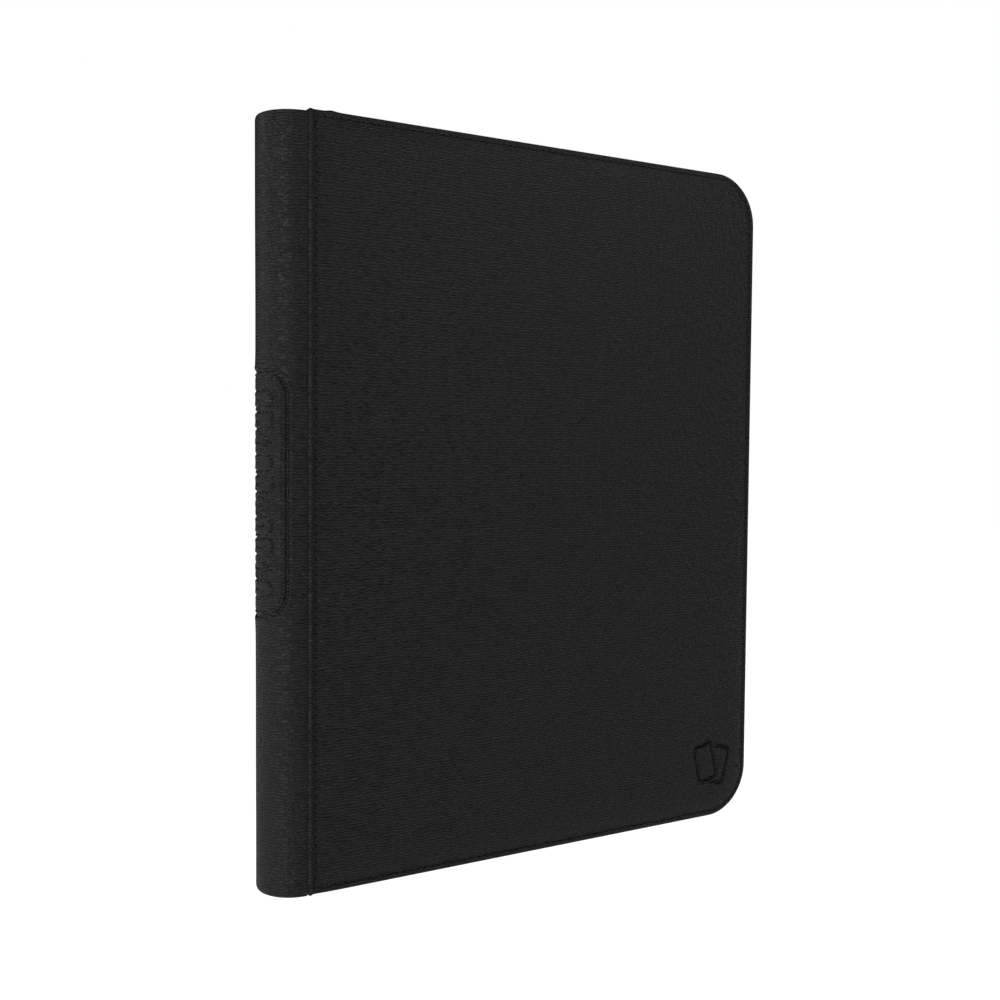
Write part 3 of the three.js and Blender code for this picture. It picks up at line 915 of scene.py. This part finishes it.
def softened(node, name, material, slot, width, segments=3):
    """A CAD node's shape with its edges rounded."""
    source = frame["nodes"][node]
    obj = bpy.data.objects.new(name, source.data.copy())
    bpy.context.scene.collection.objects.link(obj)
    obj.data.materials.clear()
    obj.data.materials.append(material)
    work = bmesh.new()
    work.from_mesh(obj.data)
    bmesh.ops.remove_doubles(work, verts=work.verts, dist=0.01 * MM)
    bmesh.ops.dissolve_limit(work, angle_limit=math.radians(1), verts=work.verts, edges=work.edges)
    sharp = [e for e in work.edges if len(e.link_faces) == 2 and e.calc_face_angle(0) > math.radians(30)]
    bmesh.ops.bevel(
        work, geom=sharp, offset=width * MM, segments=segments, profile=0.5, affect="EDGES",
        clamp_overlap=True,
    )
    bmesh.ops.recalc_face_normals(work, faces=work.faces)
    work.to_mesh(obj.data)
    work.free()
    obj.data.polygons.foreach_set("use_smooth", [True] * len(obj.data.polygons))
    return mount(obj, frame["nodes"][node]["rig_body"], slot, node)


def zip_hardware():
    """The slider, its pull, the end stops and the folded tabs over the tapes' ends."""
    softened("zip_slider_body", "slider_body", METAL, "dark_metal", 0.32)
    softened("zip_slider_crown", "slider_crown", METAL, "dark_metal", 0.28)
    softened("zip_pull_link", "pull_link", METAL, "dark_metal", 0.2)
    softened("zip_pull_grip", "pull_grip", RUBBER, "pull_rubber", 0.7, 4)
    for side in ("front", "back"):
        for end in ("top", "bottom"):
            softened(f"{side}_zip_stop_{end}", f"{side}_stop_{end}", METAL, "dark_metal", 0.3)
            softened(f"{side}_zip_end_tab_{end}", f"{side}_end_tab_{end}", LEATHER, "leatherette", 0.6)


# Leaves -------------------------------------------------------------------------------------

POCKET_COLUMNS = 3
POCKET_ROWS = 3
POCKET_WIDTH = 69.0
POCKET_HEIGHT = 95.0
WELD = 1.6
FORE_MARGIN = 5.0


def leaf_step(index):
    """Steps out from the middle plane, and which half."""
    half = LEAF_COUNT // 2
    return (half - 1 - index, -1) if index < half else (index - half, 1)


def pocket_mesh():
    """Eighteen clear panels, nine on each face of a leaf, each domed between its welds."""
    points, faces = [], []
    a = np.linspace(0, 1, 8)
    b = np.linspace(0, 1, 10)
    grid_a, grid_b = np.meshgrid(a, b, indexing="ij")
    index = np.arange(grid_a.size).reshape(grid_a.shape)
    dome = np.sin(grid_a * math.pi) ** 0.5 * np.sin(grid_b * math.pi) ** 0.5
    margin = (HEIGHT - POCKET_ROWS * POCKET_HEIGHT) / 2
    for face_sign in (-1, 1):
        for column in range(POCKET_COLUMNS):
            for row in range(POCKET_ROWS):
                x0 = LEAF_FORE_X - FORE_MARGIN - (column + 1) * POCKET_WIDTH + WELD / 2
                z0 = margin + row * POCKET_HEIGHT + WELD / 2
                x = x0 + grid_a * (POCKET_WIDTH - WELD)
                z = z0 + grid_b * (POCKET_HEIGHT - WELD)
                top = np.stack([x, face_sign * (0.17 + 0.13 * dome), z], -1).reshape(-1, 3)
                under = np.stack([x, np.full_like(x, face_sign * 0.14), z], -1).reshape(-1, 3)
                base = sum(len(p) for p in points)
                points += [top, under]
                faces += [[base + i for i in f] for f in grid_quads(index)]
                faces += [[base + grid_a.size + i for i in f] for f in grid_quads(index)]
                loop = border_of(index) + base
                faces += band(loop, loop + grid_a.size)
    return np.concatenate(points), faces


def leaf_backing(name, left):
    """The black sheet with raised weld lines between its pockets."""
    right = LEAF_FORE_X
    margin = (HEIGHT - POCKET_ROWS * POCKET_HEIGHT) / 2
    first = right - FORE_MARGIN - POCKET_COLUMNS * POCKET_WIDTH
    welds_x = [first + k * POCKET_WIDTH - left for k in range(POCKET_COLUMNS + 1)]
    welds_z = [margin + k * POCKET_HEIGHT - LEAF_LOW for k in range(POCKET_ROWS + 1)]

    def grid_lines(length, welds):
        stops = [0, 0.3, 4]
        for weld in welds:
            stops += [weld - 1.0, weld - 0.55, weld, weld + 0.55, weld + 1.0]
        inside = [s for s in stops if 0 <= s <= length] + [length - 0.3, length]
        return np.unique(np.round(np.array(inside), 3))

    a = grid_lines(right - left, welds_x)
    b = grid_lines(LEAF_HIGH - LEAF_LOW, welds_z)
    points, faces = [], []
    index = np.arange(len(a) * len(b)).reshape(len(a), len(b))
    radii = {(1, 0): 4.0, (1, 1): 4.0}
    for sign in (-1, 1):
        x, z, _, _, inset = round_corners(a, b, radii)
        weld = np.zeros_like(x)
        inside_z = (z > welds_z[0] - 0.6) & (z < welds_z[-1] + 0.6)
        inside_x = (x > welds_x[0] - 0.6) & (x < welds_x[-1] + 0.6)
        for at in welds_x:
            weld = np.maximum(weld, stroke(x - at, 0.6, 0.4) * inside_z)
        for at in welds_z:
            weld = np.maximum(weld, stroke(z - at, 0.6, 0.4) * inside_x)
        y = sign * (0.12 * smoothstep(-0.1, 0.3, inset) + 0.12 * weld)
        points.append(np.stack([left + x, y, LEAF_LOW + z], -1).reshape(-1, 3))
        base = 0 if sign < 0 else index.size
        faces += [[base + i for i in f] for f in grid_quads(index)]
    loop = border_of(index)
    faces += band(loop, loop + index.size)
    return new_object(name, np.concatenate(points), faces, FILM)


def leaves():
    """Each leaf's backing, its pockets, which share one mesh, and the crease it turns on."""
    pocket_points, pocket_faces = pocket_mesh()
    shared = None
    for number in range(LEAF_COUNT):
        step, sign = leaf_step(number)
        node = f"leaf_{number + 1:02d}"
        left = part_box(node)[0].x / MM
        y = sign * (step + 0.5) * LEAF_PITCH
        backing = leaf_backing(f"{node}_backing", left)
        backing.location.y = y * MM
        mount(backing, node, "leaf_film", node)
        if shared is None:
            pockets = new_object(f"{node}_pockets", pocket_points, pocket_faces, CLEAR)
            shared = pockets.data
        else:
            pockets = bpy.data.objects.new(f"{node}_pockets", shared)
            bpy.context.scene.collection.objects.link(pockets)
        pockets.location.y = y * MM
        mount(pockets, node, "leaf_film")
        crease = [(left + dx, y) for dx in np.linspace(-1.4, 1.2, 8)]
        fold = strip(f"{node}_crease", crease, 0.22, LEAF_LOW, LEAF_HIGH, FILM, steps=1)
        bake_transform(fold)


def dress(nodes, material):
    """Gives CAD nodes that stay a material of their own."""
    for name in nodes:
        mesh = frame["nodes"][name].data
        mesh.materials.clear()
        mesh.materials.append(material)


def binding():
    """The bars and plate that hold the leaves, and the nodes that stay as they are."""
    for side in ("front", "back"):
        softened(f"binding_bar_{side}", f"bar_{side}", PLASTIC, "binding_plastic", 0.25, 2)
    softened("binding_back_plate", "back_plate", PLASTIC, "binding_plastic", 0.4, 2)
    dress(["leaf_root_block"], FILM)
    dress([f"binding_rivet_{k}" for k in range(1, 5)], METAL)
    dress(["spine_lining"], LINING)


# Stage --------------------------------------------------------------------------------------


CAMERA_PLACE = (-0.3357, -0.5212, 0.2047)  # in metres
CAMERA_TURN = (-31.787, -2.702, 0.454)  # yaw, pitch and roll, in degrees
CAMERA_LENS = 44.06


def camera():
    """The photograph's viewpoint."""
    data = bpy.data.cameras.new("camera")
    data.sensor_width = 36
    data.lens = CAMERA_LENS
    data.clip_start = 0.01
    cam = bpy.data.objects.new("camera", data)
    bpy.context.scene.collection.objects.link(cam)
    yaw, pitch, roll = (math.radians(degrees) for degrees in CAMERA_TURN)
    turn = Matrix.Rotation(yaw, 4, "Z") @ Matrix.Rotation(math.radians(90) + pitch, 4, "X")
    cam.matrix_world = Matrix.Translation(CAMERA_PLACE) @ turn @ Matrix.Rotation(roll, 4, "Z")
    bpy.context.scene.camera = cam


def area_light(name, place, target, size, power):
    data = bpy.data.lights.new(name, "AREA")
    data.shape = "RECTANGLE"
    data.size, data.size_y = size
    data.energy = power
    light = bpy.data.objects.new(name, data)
    light.location = place
    light.rotation_euler = (Vector(target) - Vector(place)).to_track_quat("-Z", "Y").to_euler()
    light.visible_camera = False
    bpy.context.scene.collection.objects.link(light)


def world():
    """White behind the object, for the camera only: it lights nothing."""
    scene_world = bpy.data.worlds.new("studio")
    bpy.context.scene.world = scene_world
    scene_world.use_nodes = True
    tree = scene_world.node_tree
    unlit = tree.nodes["Background"]
    white = tree.nodes.new("ShaderNodeBackground")
    for background, strength in ((unlit, 0.0), (white, 1.0)):
        background.inputs["Color"].default_value = (1, 1, 1, 1)
        background.inputs["Strength"].default_value = strength
    ray = tree.nodes.new("ShaderNodeLightPath")
    mix = tree.nodes.new("ShaderNodeMixShader")
    tree.links.new(ray.outputs["Is Camera Ray"], mix.inputs[0])
    tree.links.new(unlit.outputs[0], mix.inputs[1])
    tree.links.new(white.outputs[0], mix.inputs[2])
    tree.links.new(mix.outputs[0], tree.nodes["World Output"].inputs["Surface"])


def floor():
    """White paper, brighter to the camera than to the light that falls on the object."""
    s = Shading("floor_paper", grey(0.9), 0.9)
    s.tint(s.noise((6, 6, 6)), grey(0.88), grey(0.9))
    s.shader.inputs["Emission Color"].default_value = (1, 1, 1, 1)
    ray = s.add("ShaderNodeLightPath").outputs["Is Camera Ray"]
    s.link(s.ranged(ray, 0, 1, 0.16, 1.0), s.shader.inputs["Emission Strength"])
    half, level = 4000.0, -0.2
    points = [(-half, -half, level), (half, -half, level), (half, half, level), (-half, half, level)]
    new_object("floor", points, [[0, 1, 2, 3]], s.material, smooth=False)


def studio():
    """Soft light from the walls on both sides, and a small soft light over the covers' top edges."""
    world()
    floor()
    spine_middle = (-0.12, 0, 0.18)
    area_light("left_wall", (-1.5, 0.1, 0.85), spine_middle, (1.4, 1.6), 2.43)
    area_light("left_back", (-1.2, 0.9, 0.75), spine_middle, (1.0, 1.4), 3.3)
    area_light("left_front", (-1.3, -0.9, 0.75), spine_middle, (1.0, 1.4), 8.4)
    area_light("right_wall", (1.3, -0.9, 0.5), (0.1, 0, 0.18), (0.8, 1.0), 2.2)
    area_light("overhead", (0.1, -0.16, 0.6), (0.05, 0, 0.33), (0.6, 0.3), 0.3)
    scene = bpy.context.scene
    scene.view_settings.view_transform = "Standard"


camera()
studio()
for cover_side, cover_sign in (("front", -1), ("back", 1)):
    cover_skin(cover_side, cover_sign)
    cover_stitching(cover_side, cover_sign)
    cover_lining(cover_side, cover_sign)
    hinge_skins(cover_side, cover_sign)
    zip_tape(cover_side, cover_sign)
    zip_coil(cover_side, cover_sign)
spine_skin()
zip_hardware()
leaves()
binding()
